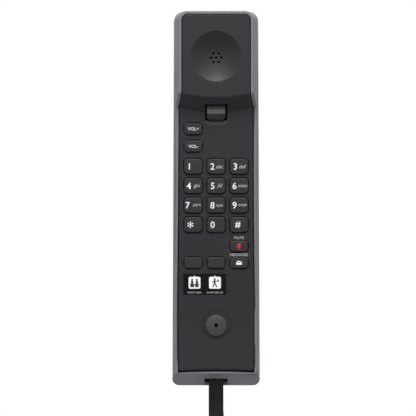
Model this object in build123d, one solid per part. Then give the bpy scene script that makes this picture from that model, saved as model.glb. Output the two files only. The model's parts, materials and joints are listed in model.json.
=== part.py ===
from build123d import *
import math
import os

# Slimline wall phone: a handset that hangs face outwards on a thin wall cradle.
# Frame: X to the viewer's right, Z up, the wall at Y = 0 and the front towards -Y.
# A depth is a distance from the wall, so depth = -Y. All sizes in millimetres.
# The origin is midway between the two wall keyholes, on the cradle's back.

# Handset outline, seen from the front
handset_length = 218.0
width_top = 49.0
width_bottom = 50.9
top_corner_r = 5.6
bottom_corner_r = 4.0
kink_r = 300.0
least_corner_r = 0.8

# Handset depths
cradle_depth = 18.0
hang_gap = 1.0
shell_depth = 21.5
ear_rise = 7.0
draft_run = 4.5
draft_slope = 0.243
top_draft_slope = 0.03
chin_rise = 2.2
chin_run = 50.0
back_edge_r = 3.0

# Shell walls and the parting line
rim = 1.6
parting_gap = 0.5
back_wall = 2.0
face_wall = 2.0
skirt_depth = 5.2

# Sloping lower band with the cord slot
band_height = 8.0
band_run = 15.5
band_wall = 1.8
face_foot_centre = 8.9
face_foot_side = 8.1

# Ear block and its dish
step_top_side = 47.1
step_top_sag = 3.2
step_foot_side = 54.5
step_foot_sag = 4.5
step_top_r = 2.0
step_foot_r = 3.0
face_edge_r = 0.4
rim_edge_r = 0.6
chin_edge_r = 1.5
dish_edge_r = 0.8
ear_from_top = 26.5
dish_r = 14.65
dish_sink = 3.5
dish_wall = 2.0
ear_hole_r = 0.7
ear_hole_ring = 2.9
ear_hole_drop = 0.7

# Microphone, measured from the lower end
mic_from_bottom = 35.75
mic_disc_r = 6.25
mic_ring_r = 8.9
mic_ring_sink = 0.5
mic_hole_r = 1.1

# Keys: name, column, distance from the top, width, height, corner radius
column_pitch = 13.3
row_pitch = 11.27
first_row = 90.1
digit_web = 2.7
menu_web = 2.9
digit_size = (column_pitch - digit_web, 8.9, 2.4)
volume_size = (column_pitch - menu_web, 6.6, 3.0)
menu_size = (column_pitch - menu_web, 6.4, 2.6)
digit_names = (
    ("key_1", "key_2", "key_3"),
    ("key_4", "key_5", "key_6"),
    ("key_7", "key_8", "key_9"),
    ("key_star", "key_0", "key_pound"),
)
other_keys = (
    ("key_volume_up", -1, 68.3, volume_size),
    ("key_volume_down", -1, 78.4, volume_size),
    ("key_mute", 1, 136.3, menu_size),
    ("key_speed_1", -1, 146.0, menu_size),
    ("key_speed_2", 0, 146.0, menu_size),
    ("key_messages", 1, 146.0, menu_size),
)
key_gap = 0.6
key_proud = 0.8
key_flange = 1.0
key_flange_lip = 0.95
key_flange_gap = 0.1
key_edge_r = 0.5
key_travel = 1.0
key_spare = 0.3

# Speed-dial card and its window
card_left = -19.1
card_width = 25.0
card_from_top = 158.4
card_height = 12.2
card_thickness = 0.3
window_thickness = 0.6
card_gap = 0.15

# Keypad mat, circuit board
mat_thickness = 1.1
mat_width = 38.0
mat_margin = 5.0
board_thickness = 1.6
board_width = 37.0
board_top = 49.0
board_from_bottom = 28.0

# Hook lever in its recess under the ear block
lever_width = 10.8
lever_side_gap = 1.05
lever_corner_r = 2.2
lever_reach = 9.0
recess_foot = 65.8
recess_head = 54.1
recess_corner_r = 3.0
pivot_from_top = 51.0
pivot_lift = -1.5
lever_pin_r = 0.9
lever_pin_gap = 0.05
knuckle_r = 1.9
lever_pin_length = 16.4
ear_thickness = 1.8
spring_length = 2.4
spring_wire_r = 0.2
spring_turns = 5

# Handset jack and the eight-wire flat cord
slot_side_gap = 0.85
slot_thickness = 8.0
slot_from_back = 8.9
plug_width = 11.7
plug_thickness = 6.6
plug_length = 19.0
plug_gap = 0.15
jack_wall = 1.2
jack_length = 17.0
jack_from_bottom = 8.0
plug_from_bottom = 4.5
contact_count = 8
contact_pitch = 1.02
contact_size = 0.35
cord_width = 8.6
cord_thickness = 2.4

# Receiver and microphone capsules
receiver_r = 14.0
receiver_height = 8.0
gasket_height = 1.5
gasket_wall = 2.0
lead_r = 0.5
mic_capsule_r = 4.85
mic_capsule_height = 2.4
boot_wall = 0.9

# Screws that join the shells
screw_top = (15.3, 9.5)
screw_bottom = (16.3, 20.0)
screw_r = 1.25
screw_head_r = 2.6
screw_head_height = 1.8
screw_gap = 0.05
screw_shank = 9.0
post_r = 4.2
post_floor = 3.0
boss_r = 2.8

# Balance weight and hook magnet in the handset's back
weight_size = (22.0, 46.0, 3.5)
weight_z = 0.0
magnet_size = (10.0, 6.0, 3.0)
magnet_z = 34.0

# Cradle
cradle_width = 44.0
cradle_height = 170.0
cradle_corner_r = 6.0
cradle_edge_r = 2.5
cradle_wall = 1.8
plate_thickness = 2.0
pad_r = 5.0
pad_thickness = 0.7
pad_place = (13.0, 70.0)

# Slanted lugs on the cradle and their sockets in the handset
lug_width = 12.0
lug_height = 4.5
lug_reach = 4.5
lug_root = 1.0
lug_centres = (-64.0, 58.0)
socket_gap = 0.4
socket_wall = 1.5

# Wall keyholes at the pitch of a standard wall-plate's studs
stud_pitch = 84.1
keyhole_entry_r = 4.8
keyhole_slot_r = 2.4
keyhole_slot_rise = 9.0

# Cradle board, line jack, ringer
cradle_board_size = (36.0, 62.0)
cradle_board_depth = 11.0
line_jack_size = (13.0, 11.5)
line_mouth_size = (10.2, 7.4)
line_mouth_depth = 9.0
ringer_r = 11.0
ringer_height = 3.0
ringer_z = 66.0
reed_r = 1.2
reed_length = 12.0
cradle_screw_place = (17.0, 78.0)
cradle_boss_r = 3.0

# Cord hank: flat cord wound two and a half turns about two loops, tied at the waist
hank_depth = 29.2
hank_drop = 136.7
loop_reach = 55.0
loop_inner_r = 17.0
waist_inner = 1.7
layer_pitch = 3.4
hank_turns = 2.5
tie_height = 14.0
tie_thickness = 1.0
tie_gap = 0.3
ledge_drop = 6.0

# Values that follow from the sizes above
top = handset_length / 2
bottom = -handset_length / 2
back = cradle_depth + hang_gap
key_face = back + shell_depth
ear_face = key_face + ear_rise
draft_start = key_face - draft_run
face_gap = rim + parting_gap
face_inner = key_face - face_wall
skirt_end = key_face - skirt_depth
flange_top = face_inner - key_flange_gap
mat_top = flange_top - key_flange - key_travel - key_spare
board_top_depth = mat_top - mat_thickness
board_depth = board_top_depth - board_thickness
slot_width = plug_width + 2 * slot_side_gap
slot_depth = back + slot_from_back + slot_thickness / 2
plug_depth = slot_depth
cord_exit_z = bottom + plug_from_bottom
pivot_z = top - pivot_from_top
pivot_depth = key_face + pivot_lift
hank_z = bottom - hank_drop
far = 200.0


def at_depth(depth):
    """Drawing plane parallel to the wall, with its normal towards the viewer."""
    return Plane.XZ.offset(depth)


def slab(sketch, low, high):
    """A front-view sketch extruded from one depth to another."""
    return extrude(at_depth(low) * sketch, high - low)


def block(x, z, depth, width, height, thick):
    """Box centred on x and z that starts at a depth and runs towards the viewer."""
    return Pos(x, -(depth + thick / 2), z) * Box(width, thick, height)


def peg(x, z, depth, radius, length):
    """Cylinder along Y that starts at a depth and runs towards the viewer."""
    return Pos(x, -(depth + length / 2), z) * Rot(90, 0, 0) * Cylinder(radius, length)


def side_prism(points, half_width):
    """Outline of (depth, z) points extruded equally both ways along X."""
    corners = [(-depth, z) for depth, z in points]
    outline = make_face(Polyline(*corners, close=True))
    return extrude(Plane.YZ * outline, half_width, both=True)


def handset_outline(side, end):
    """Front-view outline, moved in by side at the flanks and by end at both ends."""
    half_top = width_top / 2 - side
    half_bottom = width_bottom / 2 - side
    corners = [
        (-half_top, top - end),
        (half_top, top - end),
        (half_top, 0),
        (half_bottom, bottom + end),
        (-half_bottom, bottom + end),
        (-half_top, 0),
    ]
    face = make_face(Polyline(*corners, close=True))
    inset = min(side, end)
    upper = [p for p in face.vertices() if p.Y > top / 2]
    face = fillet(upper, max(top_corner_r - inset, least_corner_r))
    lower = [p for p in face.vertices() if p.Y < bottom / 2]
    face = fillet(lower, max(bottom_corner_r - inset, least_corner_r))
    middle = [p for p in face.vertices() if abs(p.Y) < top / 4]
    return fillet(middle, kink_r)


def drafted_form(inset, start):
    """Handset outline from a start depth to the ear face, flanks leaning in past the draft line."""
    lean = (ear_face - draft_start) * draft_slope
    top_lean = (ear_face - draft_start) * top_draft_slope
    lower = slab(handset_outline(inset, inset), start, draft_start)
    wide = at_depth(draft_start) * handset_outline(inset, inset)
    narrow = at_depth(ear_face) * handset_outline(inset + lean, inset + top_lean)
    return lower + loft([wide, narrow], ruled=True)


def step_region(from_top, sag):
    """Everything below an arc that dips in the middle."""
    side = top - from_top
    reach = width_top / 2
    arc = ThreePointArc((-reach, side), (0, side - sag), (reach, side))
    lines = Polyline((reach, side), (reach * 2, side), (reach * 2, bottom * 2), (-reach * 2, bottom * 2),
                     (-reach * 2, side), (-reach, side))
    return make_face(arc + lines)


def front_space(drop):
    """Space in front of the keypad face and chin, and below the ear block, moved back by drop."""
    beyond = 2.0
    floor = key_face - drop
    slope_rise = (step_foot_side - step_top_side) / ear_rise
    sag_rise = (step_foot_sag - step_top_sag) / ear_rise
    low = floor - beyond
    high = ear_face - drop + beyond
    low_sketch = step_region(step_foot_side + slope_rise * beyond - drop, step_foot_sag + sag_rise * beyond)
    high_sketch = step_region(step_top_side - slope_rise * beyond - drop, step_top_sag - sag_rise * beyond)
    space = loft([at_depth(low) * low_sketch, at_depth(high) * high_sketch], ruled=True)
    return space & floor_prism(floor)


def cross_edges(body, depth, z, reach):
    """Long edges that run across the handset near a depth and a height."""
    found = []
    for edge in body.edges():
        centre = edge.center()
        near = abs(centre.Y + depth) < reach and abs(centre.Z - z) < 2 * reach
        if near and edge.bounding_box().size.X > width_top / 2:
            found.append(edge)
    return found


def flank_edges(body):
    """Edges where the front surfaces meet the drafted flanks and top."""
    found = []
    for edge in body.edges():
        centre = edge.center()
        size = edge.bounding_box().size
        on_flank = centre.Y < 0.3 - key_face and size.X < top_corner_r + 0.5 and size.Z > 1
        on_top = centre.Y < 0.1 - ear_face and centre.Z > top - top_corner_r
        if on_flank or on_top:
            found.append(edge)
    return found


def front_form(inset, start, edge_r):
    """Handset form with its front surfaces, step and edges rounded."""
    body = drafted_form(inset, start) - front_space(0)
    body = fillet(cross_edges(body, ear_face, top - step_top_side - step_top_sag / 2, 2), step_top_r)
    body = fillet(cross_edges(body, key_face, top - step_foot_side - step_foot_sag / 2, 2), step_foot_r)
    return fillet(flank_edges(body), edge_r)


def floor_prism(floor):
    """Everything in front of the keypad floor, which curves up towards the chin."""
    chin_start = bottom + chin_run + band_height
    curve_r = (chin_run**2 + chin_rise**2) / (2 * chin_rise)
    end_z = bottom - band_height
    run = chin_start - end_z
    end_rise = curve_r - math.sqrt(curve_r**2 - run**2)
    mid_run = run / 2
    mid_rise = curve_r - math.sqrt(curve_r**2 - mid_run**2)
    arc = ThreePointArc(
        (-floor, chin_start),
        (-floor - mid_rise, chin_start - mid_run),
        (-floor - end_rise, end_z),
    )
    lines = Polyline((-floor - end_rise, end_z), (-far, end_z), (-far, top * 2), (-floor, top * 2), (-floor, chin_start))
    return extrude(Plane.YZ * make_face(arc + lines), width_bottom, both=True)


def band_space(inset):
    """Everything below the sloping lower band, moved into the shell by inset."""
    slope = band_height / band_run
    rise = inset * math.hypot(1, slope)
    start = key_face + chin_rise
    low = (start - 3 * band_run, band_height + rise - 3 * band_height)
    high = (start + band_run, band_height + rise + band_height)
    points = [low, high, (high[0], -far), (low[0], -far)]
    return side_prism([(depth, bottom + z) for depth, z in points], width_bottom)


def face_foot_space(raise_by):
    """Everything below the face shell's arched lower edge."""
    reach = width_bottom / 2
    side = bottom + face_foot_side + raise_by
    centre = bottom + face_foot_centre + raise_by
    arc = ThreePointArc((-reach, side), (0, centre), (reach, side))
    lines = Polyline((reach, side), (reach, bottom * 2), (-reach, bottom * 2), (-reach, side))
    return slab(make_face(arc + lines), back, ear_face * 2)


def dish_ball(extra):
    """Ball that hollows the ear dish."""
    ball_r = (dish_r**2 + dish_sink**2) / (2 * dish_sink)
    centre = ear_face + ball_r - dish_sink
    return Pos(0, -centre, top - ear_from_top) * Sphere(ball_r + extra)


def key_table():
    """Every key as name, x, z, width, height and corner radius."""
    keys = []
    for row, names in enumerate(digit_names):
        for column, name in enumerate(names):
            x = (column - 1) * column_pitch
            keys.append((name, x, top - first_row - row * row_pitch, *digit_size))
    for name, column, from_top, size in other_keys:
        keys.append((name, column * column_pitch, top - from_top, *size))
    return keys


def key_shape(width, height, radius, grow):
    return RectangleRounded(width + 2 * grow, height + 2 * grow, radius + grow)


def screw_places():
    places = []
    for side in (-1, 1):
        places.append((side * screw_top[0], top - screw_top[1]))
        places.append((side * screw_bottom[0], bottom + screw_bottom[1]))
    return places


def slanted_bar(centre_z, half_height, half_width, low, high):
    """Bar that climbs at 45 degrees away from the cradle's front."""
    points = [
        (low, centre_z - half_height + low - cradle_depth),
        (high, centre_z - half_height + high - cradle_depth),
        (high, centre_z + half_height + high - cradle_depth),
        (low, centre_z + half_height + low - cradle_depth),
    ]
    return side_prism(points, half_width)


def lever_recess():
    """Through recess in the face shell for the hook lever."""
    half = lever_width / 2 + lever_side_gap
    foot = top - recess_foot
    head = top - recess_head
    shape = Pos(0, (foot + head) / 2) * Rectangle(2 * half, head - foot)
    shape = fillet([p for p in shape.vertices() if p.Y < (foot + head) / 2], recess_corner_r)
    return slab(shape, skirt_end - 1, ear_face)


def pivot_peg(radius, x_low, x_high):
    """Cylinder along the hook lever's pivot axis."""
    middle = (x_low + x_high) / 2
    return Pos(middle, -pivot_depth, pivot_z) * Rot(0, 90, 0) * Cylinder(radius, x_high - x_low)


def jack_socket(grow, z_low, z_high):
    """Upright bar of the plug's section, grown by a margin."""
    height = z_high - z_low
    bar = Box(plug_width + 2 * grow, plug_thickness + 2 * grow, height)
    return Pos(0, -plug_depth, (z_low + z_high) / 2) * bar


def make_face_shell():
    outer = front_form(face_gap, skirt_end, face_edge_r) - face_foot_space(parting_gap)
    chin = bottom + face_foot_centre
    outer = fillet(cross_edges(outer, key_face + chin_rise, chin, 2), chin_edge_r)
    inner = drafted_form(face_gap + face_wall, skirt_end) - front_space(face_wall)
    inner = inner - face_foot_space(parting_gap + face_wall) - dish_ball(dish_wall)
    inner = inner - slab(Rectangle(4 * far, 4 * far), ear_face - face_wall, far)
    outer = outer - dish_ball(0)
    circles = outer.edges().filter_by(GeomType.CIRCLE)
    outer = fillet([e for e in circles if abs(e.radius - dish_r) < 0.1], dish_edge_r)
    shell = outer - inner
    ear_z = top - ear_from_top - ear_hole_drop
    holes = [(0, ear_z)]
    for step in range(6):
        angle = math.radians(60 * step)
        holes.append((ear_hole_ring * math.cos(angle), ear_z + ear_hole_ring * math.sin(angle)))
    for x, z in holes:
        shell = shell - peg(x, z, face_inner, ear_hole_r, ear_face - face_inner)
    mic_z = bottom + mic_from_bottom
    shell = shell - peg(0, mic_z, skirt_end, mic_hole_r, ear_face - skirt_end)
    mic_surface = key_face + chin_rise * ((chin_run + band_height - mic_from_bottom) / chin_run) ** 2
    groove = slab(Circle(mic_ring_r) - Circle(mic_disc_r), mic_surface - mic_ring_sink, ear_face)
    shell = shell - Pos(0, 0, mic_z) * groove
    for name, x, z, width, height, radius in key_table():
        hole = slab(key_shape(width, height, radius, key_gap), skirt_end, key_face + 1)
        shell = shell - Pos(x, 0, z) * hole
    card_x = card_left + card_width / 2
    card_z = top - card_from_top
    recess = block(card_x, card_z, key_face - card_thickness - window_thickness, card_width, card_height, ear_rise)
    shell = shell - recess - lever_recess()
    for x, z in screw_places():
        reach = ear_face - face_wall if z > 0 else key_face + chin_rise / 2 - face_wall
        start = back + post_wall_top() + screw_gap
        shell = shell + peg(x, z, start, boss_r, reach - start + face_wall / 2)
        shell = shell - peg(x, z, start, screw_r + screw_gap, screw_shank)
    for side in (-1, 1):
        ear_x = side * (lever_width / 2 + lever_side_gap / 2 + ear_thickness / 2 + 0.3)
        start = pivot_depth - knuckle_r
        reach = ear_face - face_wall / 2 - start
        ear = block(ear_x, pivot_z + 0.6, start, ear_thickness, 2 * knuckle_r + 1.2, reach)
        shell = shell + ear - front_space(0)
    shell = shell - jack_bounds(parting_gap)
    return shell - pivot_peg(lever_pin_r + 0.02, -lever_pin_length / 2, lever_pin_length / 2)


def post_wall_top():
    """Height of the back shell's screw posts above the handset's back."""
    return screw_head_height + post_floor + 7.0


def make_back_shell():
    outer = front_form(0, back, rim_edge_r)
    outer = fillet(outer.faces().sort_by(Axis.Y)[-1].edges(), back_edge_r)
    outer = outer - band_space(0)
    cavity = drafted_form(rim, back + back_wall) - band_space(band_wall)
    lid_seat = drafted_form(rim, skirt_end - parting_gap) - face_foot_space(0)
    shell = outer - cavity - lid_seat
    for x, z in screw_places():
        shell = shell + peg(x, z, back + 1, post_r, post_wall_top() - 1)
        seat = post_wall_top() - post_floor
        shell = shell - peg(x, z, back - 1, screw_head_r + 0.3, seat + 1)
        shell = shell - peg(x, z, back, screw_r + 0.4, post_wall_top() + 1)
    for z in lug_centres:
        wall = slanted_bar(z, lug_height / 2 + socket_gap + socket_wall, lug_width / 2 + socket_gap + socket_wall,
                           back + 1, cradle_depth + lug_reach + socket_gap + socket_wall + 0.3)
        void = slanted_bar(z, lug_height / 2 + socket_gap * 1.42, lug_width / 2 + socket_gap,
                           back - 1, cradle_depth + lug_reach + socket_gap + 0.3)
        shell = shell + wall - void
    slot = Pos(0, -slot_depth, bottom) * Box(slot_width, slot_thickness, 4 * jack_from_bottom)
    return shell - slot - jack_bounds(0.1)


def jack_bounds(grow):
    """Outer block of the handset jack."""
    width = plug_width + 2 * (plug_gap + jack_wall + grow)
    depth = plug_thickness + 2 * (plug_gap + jack_wall + grow)
    centre = bottom + jack_from_bottom + jack_length / 2
    return Pos(0, -plug_depth, centre) * Box(width, depth, jack_length + 2 * grow)


def make_jack():
    low = bottom + jack_from_bottom
    cavity = jack_socket(plug_gap, low - 1, low + jack_length - jack_wall)
    groove = Pos(0, -(plug_depth + plug_thickness / 2), low + jack_length / 2) * Box(
        contact_count * contact_pitch, 2 * (contact_size + plug_gap), jack_length - 2 * jack_wall)
    return jack_bounds(0) - cavity - groove


def contact_row(z_low, length, depth):
    """Row of spring wires along Z."""
    wires = []
    for index in range(contact_count):
        x = (index - (contact_count - 1) / 2) * contact_pitch
        wires.append(Pos(x, -depth, z_low + length / 2) * Box(contact_size, contact_size, length))
    return Compound(wires)


def make_plug(throat_depth, z_rear, depth, length):
    """Eight-way plug that points up, with a latch tongue and an open rear for the flat cord."""
    body = Pos(0, -depth, z_rear + length / 2) * Box(plug_width, plug_thickness, length)
    body = fillet(body.edges().filter_by(Axis.Z), 0.4)
    throat = Pos(0, -depth, z_rear) * Box(cord_width + 0.2, cord_thickness + 0.2, 2 * throat_depth)
    return body - throat


def make_key(width, height, radius):
    cap = slab(key_shape(width, height, radius, 0), flange_top - key_flange, key_face + key_proud)
    front = cap.faces().sort_by(Axis.Y)[0]
    cap = fillet(front.edges(), key_edge_r)
    flange = slab(key_shape(width, height, radius, key_flange_lip), flange_top - key_flange, flange_top)
    return cap + flange


def make_lever():
    half = lever_width / 2
    outline = [
        (pivot_depth - knuckle_r + 0.6, pivot_from_top),
        (pivot_depth + knuckle_r - 0.8, pivot_from_top),
        (pivot_depth + knuckle_r - 0.8, recess_head + 0.7),
        (key_face + 1.7, recess_head + 0.7),
        (key_face + 3.4, recess_head + 5.7),
        (key_face + 0.5, recess_head + lever_reach),
        (key_face - 2.2, recess_head + lever_reach),
    ]
    wedge = side_prism([(depth, top - z) for depth, z in outline], half)
    foot = top - recess_head - lever_reach
    corners = [e for e in wedge.edges().filter_by(Axis.Y) if abs(e.center().Z - foot) < lever_corner_r / 4]
    wedge = fillet(corners, lever_corner_r)
    wedge = wedge + pivot_peg(knuckle_r, -half, half)
    wedge = wedge - Pos(half - spring_length / 2, -pivot_depth, pivot_z) * Box(
        spring_length, 4 * knuckle_r, 2 * knuckle_r + 0.4)
    return wedge - pivot_peg(lever_pin_r + lever_pin_gap, -half - 1, half + 1)


def make_hook_spring():
    pitch = (spring_length - 4 * spring_wire_r) / spring_turns
    radius = lever_pin_r + 2.5 * spring_wire_r
    path = Helix(pitch, pitch * spring_turns, radius)
    wire = Plane(path @ 0, z_dir=path % 0) * Circle(spring_wire_r)
    coil = sweep(wire, path, is_frenet=True)
    start = lever_width / 2 - spring_length + 2 * spring_wire_r
    return Pos(start, -pivot_depth, pivot_z) * Rot(0, 90, 0) * coil


def make_screws(places, start, head_r, head_height, shank_r, shank):
    """Screws driven towards the viewer, with a cross recess in each head."""
    screws = []
    for x, z in places:
        screw = peg(x, z, start, head_r, head_height) + peg(x, z, start, shank_r, head_height + shank)
        for turn in (0, 90):
            slot = Box(2.6, 1.6, 0.6)
            screw = screw - Pos(x, -start, z) * Rot(0, turn, 0) * slot
        screws.append(screw)
    return Compound(screws)


def cradle_outline(inset):
    return RectangleRounded(cradle_width - 2 * inset, cradle_height - 2 * inset, cradle_corner_r - inset)


def cradle_screw_places():
    x, z = cradle_screw_place
    return [(-x, -z), (x, -z), (-x, z), (x, z)]


def make_cradle_cover():
    outer = slab(cradle_outline(0), plate_thickness, cradle_depth)
    front = outer.faces().sort_by(Axis.Y)[0]
    outer = fillet(front.edges(), cradle_edge_r)
    cover = outer - slab(cradle_outline(cradle_wall), plate_thickness - 1, cradle_depth - cradle_wall)
    for x, z in cradle_screw_places():
        cover = cover + peg(x, z, plate_thickness, cradle_boss_r, cradle_depth - cradle_wall / 2 - plate_thickness)
        cover = cover - peg(x, z, plate_thickness, screw_r + screw_gap, screw_shank + 1)
    for z in lug_centres:
        cover = cover + slanted_bar(z, lug_height / 2, lug_width / 2, cradle_depth - lug_root,
                                    cradle_depth + lug_reach)
    mouth = jack_socket(plug_gap, -cradle_height / 2 - 1, -cradle_height / 2 + cradle_wall + 1)
    return cover - Pos(0, plug_depth - cradle_jack_depth(), 0) * mouth


def cradle_jack_depth():
    return cradle_depth / 2


def make_back_plate():
    plate = slab(cradle_outline(0), 0, plate_thickness)
    for side in (-1, 1):
        z = side * stud_pitch / 2
        plate = plate - peg(0, z, -1, keyhole_entry_r, plate_thickness + 2)
        slot = Pos(0, z + keyhole_slot_rise / 2) * SlotOverall(
            keyhole_slot_rise + 2 * keyhole_slot_r, 2 * keyhole_slot_r, rotation=90)
        plate = plate - slab(slot, -1, plate_thickness + 1)
    plate = plate - block(0, 0, -1, line_mouth_size[0], line_mouth_size[1], plate_thickness + 2)
    for x, z in cradle_screw_places():
        plate = plate - peg(x, z, -1, screw_r + 0.3, plate_thickness + 2)
        plate = plate - peg(x, z, -1, screw_head_r + 0.2, 1 + plate_thickness / 2)
    return plate


def make_line_jack():
    depth = cradle_board_depth - plate_thickness
    body = block(0, 0, plate_thickness, *line_jack_size, depth)
    return body - block(0, 0, plate_thickness - 1, *line_mouth_size, line_mouth_depth - plate_thickness + 1)


def make_cradle_jack():
    low = -cradle_height / 2 + cradle_wall
    centre = low + jack_length / 2
    width = plug_width + 2 * (plug_gap + jack_wall)
    depth = plug_thickness + 2 * (plug_gap + jack_wall)
    body = Pos(0, -cradle_jack_depth(), centre) * Box(width, depth, jack_length)
    shift = Pos(0, plug_depth - cradle_jack_depth(), 0)
    cavity = shift * jack_socket(plug_gap, low - 1, low + jack_length - jack_wall)
    groove = Pos(0, -(cradle_jack_depth() + plug_thickness / 2), centre) * Box(
        contact_count * contact_pitch, 2 * (contact_size + plug_gap), jack_length - 2 * jack_wall)
    return body - cavity - groove


def hank_side(sign, outer_layers, first):
    """One flank of the hank's outline as points from the upper loop to the lower one."""
    half = cord_thickness / 2
    loop = loop_inner_r + outer_layers * layer_pitch + half
    waist = waist_inner + outer_layers * layer_pitch + half
    middle = (loop + waist) / 2
    return [
        (sign * loop, first),
        (sign * middle, loop_reach / 2 + 4),
        (sign * waist, tie_height / 2 + 2),
        (sign * waist, -tie_height / 2 - 2),
        (sign * middle, -loop_reach / 2 - 4),
        (sign * loop, -loop_reach),
    ]


def make_hank():
    """Two and a half turns of flat cord as one closed solid with its two loops open."""
    half = cord_thickness / 2
    front = hank_side(-1, hank_turns, loop_reach - ledge_drop)
    rear = hank_side(1, hank_turns - 0.5, loop_reach)
    upper_r = loop_inner_r + (hank_turns - 0.75) * layer_pitch + half
    lower_r = loop_inner_r + (hank_turns - 0.25) * layer_pitch + half
    ledge = (-upper_r, loop_reach - ledge_drop)
    edges = [
        Spline(*front, tangents=((0, -1), (0, -1))),
        ThreePointArc(front[-1], ((rear[-1][0] + front[-1][0]) / 2, -loop_reach - lower_r), rear[-1]),
        Spline(*reversed(rear), tangents=((0, 1), (0, 1))),
        ThreePointArc(rear[0], (0, loop_reach + upper_r), (-upper_r, loop_reach)),
        Polyline((-upper_r, loop_reach), ledge, front[0]),
    ]
    outline = make_face(edges)
    for side in (-1, 1):
        eye = Pos(0, side * loop_reach) * Circle(loop_inner_r - half)
        tip = Pos(0, side * (tie_height / 2 + 12)) * Circle(0.8)
        outline = outline - make_hull((eye + tip).edges())
    solid = extrude(Plane.YZ * outline, cord_width / 2, both=True)
    return Pos(0, -hank_depth, hank_z) * solid


def make_tie():
    waist_front = waist_inner + hank_turns * layer_pitch + cord_thickness / 2 + tie_gap
    inner = Box(cord_width + 2 * tie_gap, 2 * waist_front, tie_height)
    outer = Box(cord_width + 2 * (tie_gap + tie_thickness), 2 * (waist_front + tie_thickness), tie_height)
    outer = fillet(outer.edges().filter_by(Axis.Z), tie_thickness)
    return Pos(0, -hank_depth, hank_z) * (outer - inner)


# Cord routes: chosen points (x, y, z), from each plug to the hank
hank_front = -hank_depth - loop_inner_r - hank_turns * layer_pitch
handset_route = [
    (0, -plug_depth, cord_exit_z),
    (0, -plug_depth, cord_exit_z - 19),
    (0, -plug_depth - 4, cord_exit_z - 40),
    (0, -plug_depth - 12.5, cord_exit_z - 60),
    (0, hank_front - 0.5, cord_exit_z - 80),
    (0, hank_front, hank_z + loop_reach - ledge_drop),
]
cradle_exit_z = -cradle_height / 2 + cradle_wall - 3
cradle_route = [
    (0, -cradle_jack_depth(), cradle_exit_z),
    (0.2, -hank_depth + 20.0, hank_z + 140),
    (-0.2, -hank_depth + 19.0, hank_z + 120),
    (2.5, -hank_depth + 16.5, hank_z + 101),
    (8.6, -hank_depth + 11.5, hank_z + 84),
    (9.9, -hank_depth + 5.5, hank_z + 66),
    (6.5, -hank_depth - 0.5, hank_z + 52),
]


def route_radii(points):
    """Each corner's arc: 0.45 of its shorter run over the tangent of half the turn."""
    radii = []
    for before, here, after in zip(points, points[1:], points[2:]):
        run_in = Vector(*here) - Vector(*before)
        run_out = Vector(*after) - Vector(*here)
        turn = math.radians(run_in.get_angle(run_out))
        radii.append(0.45 * min(run_in.length, run_out.length) / math.tan(turn / 2))
    return radii


def make_cord(points, label):
    radii = route_radii(points)
    path = FilletPolyline(*points, radius=radii)
    section = Plane(path @ 0, x_dir=(1, 0, 0), z_dir=path % 0) * RectangleRounded(
        cord_width, cord_thickness, cord_thickness * 0.45)
    tube = sweep(section, path)
    print(label, "length", round(path.length, 1), "volume ratio",
          round(tube.volume / (section.area * path.length), 4), "radii", [round(r, 1) for r in radii])
    return tube


def make_pads():
    x, z = pad_place
    pads = [peg(px, pz, cradle_depth, pad_r, pad_thickness) for px in (-x, x) for pz in (-z, z)]
    return Compound(pads)


def make_board_components():
    """Controller, memory, two capacitors and a row of resistors behind the handset board."""
    parts = [
        block(0, -12, board_depth - 1.6, 12, 12, 1.6),
        block(-10, 6, board_depth - 1.2, 6, 8, 1.2),
        peg(11, 10, board_depth - 6, 3.1, 6),
        peg(11, -30, board_depth - 6, 3.1, 6),
    ]
    for index in range(6):
        parts.append(block(-12 + index * 4, 22, board_depth - 0.7, 1.6, 3.2, 0.7))
    return Compound(parts)


def make_cradle_components():
    front = cradle_board_depth + board_thickness
    parts = [block(-9, 14, front, 9, 9, 1.6), block(10, 8, front, 6, 5, 2.0), peg(-11, -20, front, 3.0, 3.0)]
    for index in range(5):
        parts.append(block(2 + index * 3.4, -20, front, 1.6, 3.2, 0.7))
    return Compound(parts)


def make_receiver_leads():
    """Two thin wires from the receiver's back down to the board."""
    start_z = top - ear_from_top - receiver_r + 3
    depth = board_depth - lead_r - 0.05
    wires = []
    for side in (-1, 1):
        wires.append(Pos(side * 9.5, -depth, (start_z + top - board_top - 2) / 2) * Cylinder(
            lead_r, start_z - top + board_top + 2))
    return Compound(wires)


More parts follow.
